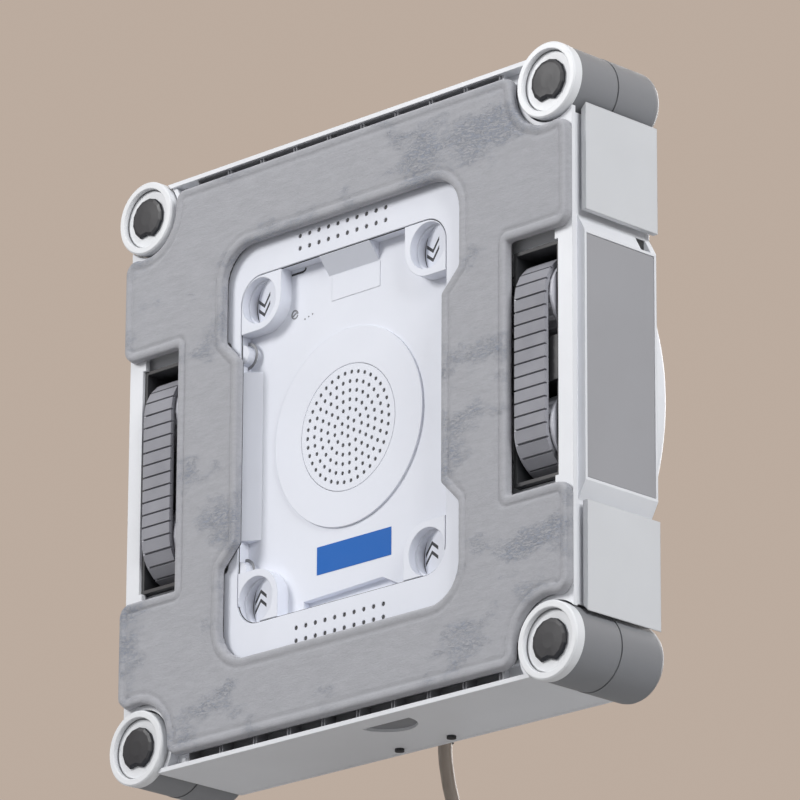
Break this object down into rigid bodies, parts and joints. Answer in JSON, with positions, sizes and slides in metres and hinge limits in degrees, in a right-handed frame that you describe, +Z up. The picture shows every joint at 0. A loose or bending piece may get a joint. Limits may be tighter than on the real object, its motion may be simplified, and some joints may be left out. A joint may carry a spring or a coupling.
{
  "type": "window cleaning robot",
  "caption": "Square window cleaning robot with a grey pad, ribbed side tracks, corner rollers, side bumpers, a suction fan and a round back with a handle bar.",
  "frame": {"origin": "centre of the face that lies on the glass, midway between the tracks and between the top and bottom walls", "axes": "+Y from the glass into the body, +Z up the pane towards the tank, +X to the right of a viewer who looks at the pad"},
  "size_m": [0.2722, 0.0785, 0.4221],
  "materials": {
    "white_shell": "smooth satin",
    "white_inner": "smooth satin",
    "white_ring": "smooth",
    "light_grey": "fine matt",
    "mid_grey": "fine matt",
    "barrel_grey": "fine matt",
    "dark_plastic": "matt",
    "pad_cloth": "short nap",
    "belt_rubber": "matt",
    "wheel_plastic": "satin",
    "steel": "brushed",
    "brass": "satin",
    "board": "satin",
    "cell_wrap": "satin",
    "tank_plastic": "clear",
    "lens": "frosted",
    "cord_jacket": "satin",
    "dark_rubber": "matt"
  },
  "bodies": {
    "body": {"chassis": "white_shell", "base_panel": "white_inner", "fan_grille": "white_inner", "pad_carrier": "dark_plastic", "cleaning_pad": "pad_cloth", "rear_cover": "white_shell", "dome_cover": "white_shell", "handle": "light_grey", "light_ring": "lens", "side_panel_left": "mid_grey", "side_panel_right": "mid_grey", "corner_housing_top_left": "barrel_grey", "corner_housing_top_right": "barrel_grey", "corner_housing_bottom_left": "barrel_grey", "corner_housing_bottom_right": "barrel_grey", "roller_pins": "dark_plastic", "track_housing_left": "dark_plastic", "track_housing_right": "dark_plastic", "track_belt_left": "belt_rubber", "track_belt_right": "belt_rubber", "track_motor_left": "steel", "track_motor_right": "steel", "fan_housing": "dark_plastic", "fan_motor": "steel", "battery_pack": "cell_wrap", "control_board": "board", "water_tank": "tank_plastic", "water_pump": "wheel_plastic", "spray_nozzles": "dark_plastic", "bumper_switches": "dark_plastic", "body_screws": "steel", "bottom_feet": "dark_rubber", "cord_gland": "dark_plastic", "power_cord": "cord_jacket", "cord_coil": "cord_jacket", "cord_tail": "cord_jacket", "cord_tie": "dark_rubber", "cord_connector": "dark_rubber"},
    "corner_roller_top_left": {"roller_top_left": "barrel_grey", "roller_face_top_left": "white_ring"},
    "bumper_top_left": {"bumper_top_left": "light_grey"},
    "corner_roller_top_right": {"roller_top_right": "barrel_grey", "roller_face_top_right": "white_ring"},
    "bumper_top_right": {"bumper_top_right": "light_grey"},
    "corner_roller_bottom_left": {"roller_bottom_left": "barrel_grey", "roller_face_bottom_left": "white_ring"},
    "bumper_bottom_left": {"bumper_bottom_left": "light_grey"},
    "corner_roller_bottom_right": {"roller_bottom_right": "barrel_grey", "roller_face_bottom_right": "white_ring"},
    "bumper_bottom_right": {"bumper_bottom_right": "light_grey"},
    "drive_wheel_left": {"drive_wheel_left": "wheel_plastic"},
    "drive_wheel_right": {"drive_wheel_right": "wheel_plastic"},
    "idler_wheel_left": {"idler_wheel_left": "wheel_plastic"},
    "idler_wheel_right": {"idler_wheel_right": "wheel_plastic"},
    "motor_pinion_left": {"motor_pinion_left": "brass"},
    "motor_pinion_right": {"motor_pinion_right": "brass"},
    "fan_impeller": {"fan_impeller": "wheel_plastic"},
    "start_button": {"start_button": "white_shell"},
    "power_switch": {"power_switch": "dark_plastic"},
    "tank_cap": {"tank_cap": "dark_rubber"}
  },
  "joints": [
    {"name": "corner_roller_spin_top_left", "type": "hinge", "parent": "body", "child": "corner_roller_top_left", "pos_m": [-0.11965, 0.014, 0.11965], "axis": [0, 1, 0], "continuous": true},
    {"name": "corner_roller_spin_top_right", "type": "hinge", "parent": "body", "child": "corner_roller_top_right", "pos_m": [0.11965, 0.014, 0.11965], "axis": [0, 1, 0], "continuous": true},
    {"name": "corner_roller_spin_bottom_left", "type": "hinge", "parent": "body", "child": "corner_roller_bottom_left", "pos_m": [-0.11965, 0.014, -0.11965], "axis": [0, 1, 0], "continuous": true},
    {"name": "corner_roller_spin_bottom_right", "type": "hinge", "parent": "body", "child": "corner_roller_bottom_right", "pos_m": [0.11965, 0.014, -0.11965], "axis": [0, 1, 0], "continuous": true},
    {"name": "bumper_press_top_left", "type": "slide", "parent": "body", "child": "bumper_top_left", "axis": [1, 0, 0], "range_m": [0, 0.002], "stiffness_N_per_m": 800},
    {"name": "bumper_press_top_right", "type": "slide", "parent": "body", "child": "bumper_top_right", "axis": [-1, 0, 0], "range_m": [0, 0.002], "stiffness_N_per_m": 800},
    {"name": "bumper_press_bottom_left", "type": "slide", "parent": "body", "child": "bumper_bottom_left", "axis": [1, 0, 0], "range_m": [0, 0.002], "stiffness_N_per_m": 800},
    {"name": "bumper_press_bottom_right", "type": "slide", "parent": "body", "child": "bumper_bottom_right", "axis": [-1, 0, 0], "range_m": [0, 0.002], "stiffness_N_per_m": 800},
    {"name": "drive_wheel_spin_left", "type": "hinge", "parent": "body", "child": "drive_wheel_left", "pos_m": [-0.11, 0.02053, 0.028], "axis": [1, 0, 0], "continuous": true},
    {"name": "idler_wheel_spin_left", "type": "hinge", "parent": "body", "child": "idler_wheel_left", "pos_m": [-0.11, 0.02053, -0.028], "axis": [1, 0, 0], "continuous": true},
    {"name": "motor_pinion_spin_left", "type": "hinge", "parent": "body", "child": "motor_pinion_left", "pos_m": [-0.094, 0.0324, 0.01612], "axis": [1, 0, 0], "continuous": true},
    {"name": "drive_wheel_spin_right", "type": "hinge", "parent": "body", "child": "drive_wheel_right", "pos_m": [0.11, 0.02053, 0.028], "axis": [1, 0, 0], "continuous": true},
    {"name": "idler_wheel_spin_right", "type": "hinge", "parent": "body", "child": "idler_wheel_right", "pos_m": [0.11, 0.02053, -0.028], "axis": [1, 0, 0], "continuous": true},
    {"name": "motor_pinion_spin_right", "type": "hinge", "parent": "body", "child": "motor_pinion_right", "pos_m": [0.094, 0.0324, 0.01612], "axis": [1, 0, 0], "continuous": true},
    {"name": "fan_spin", "type": "hinge", "parent": "body", "child": "fan_impeller", "pos_m": [-0.004, 0.03, 0], "axis": [0, 1, 0], "continuous": true},
    {"name": "start_button_press", "type": "slide", "parent": "body", "child": "start_button", "axis": [0, -1, 0], "range_m": [0, 0.0012], "stiffness_N_per_m": 400},
    {"name": "power_switch_rock", "type": "hinge", "parent": "body", "child": "power_switch", "pos_m": [0.098, 0.0526, -0.098], "axis": [1, 0, 0], "range_deg": [0, 16]},
    {"name": "tank_cap_pull", "type": "slide", "parent": "body", "child": "tank_cap", "axis": [0, 1, 0], "range_m": [0, 0.012]}
  ],
  "couplings": [
    {"joint": "idler_wheel_spin_left", "follows": "drive_wheel_spin_left", "ratio": 1},
    {"joint": "motor_pinion_spin_left", "follows": "drive_wheel_spin_left", "ratio": -3},
    {"joint": "idler_wheel_spin_right", "follows": "drive_wheel_spin_right", "ratio": 1},
    {"joint": "motor_pinion_spin_right", "follows": "drive_wheel_spin_right", "ratio": -3}
  ]
}
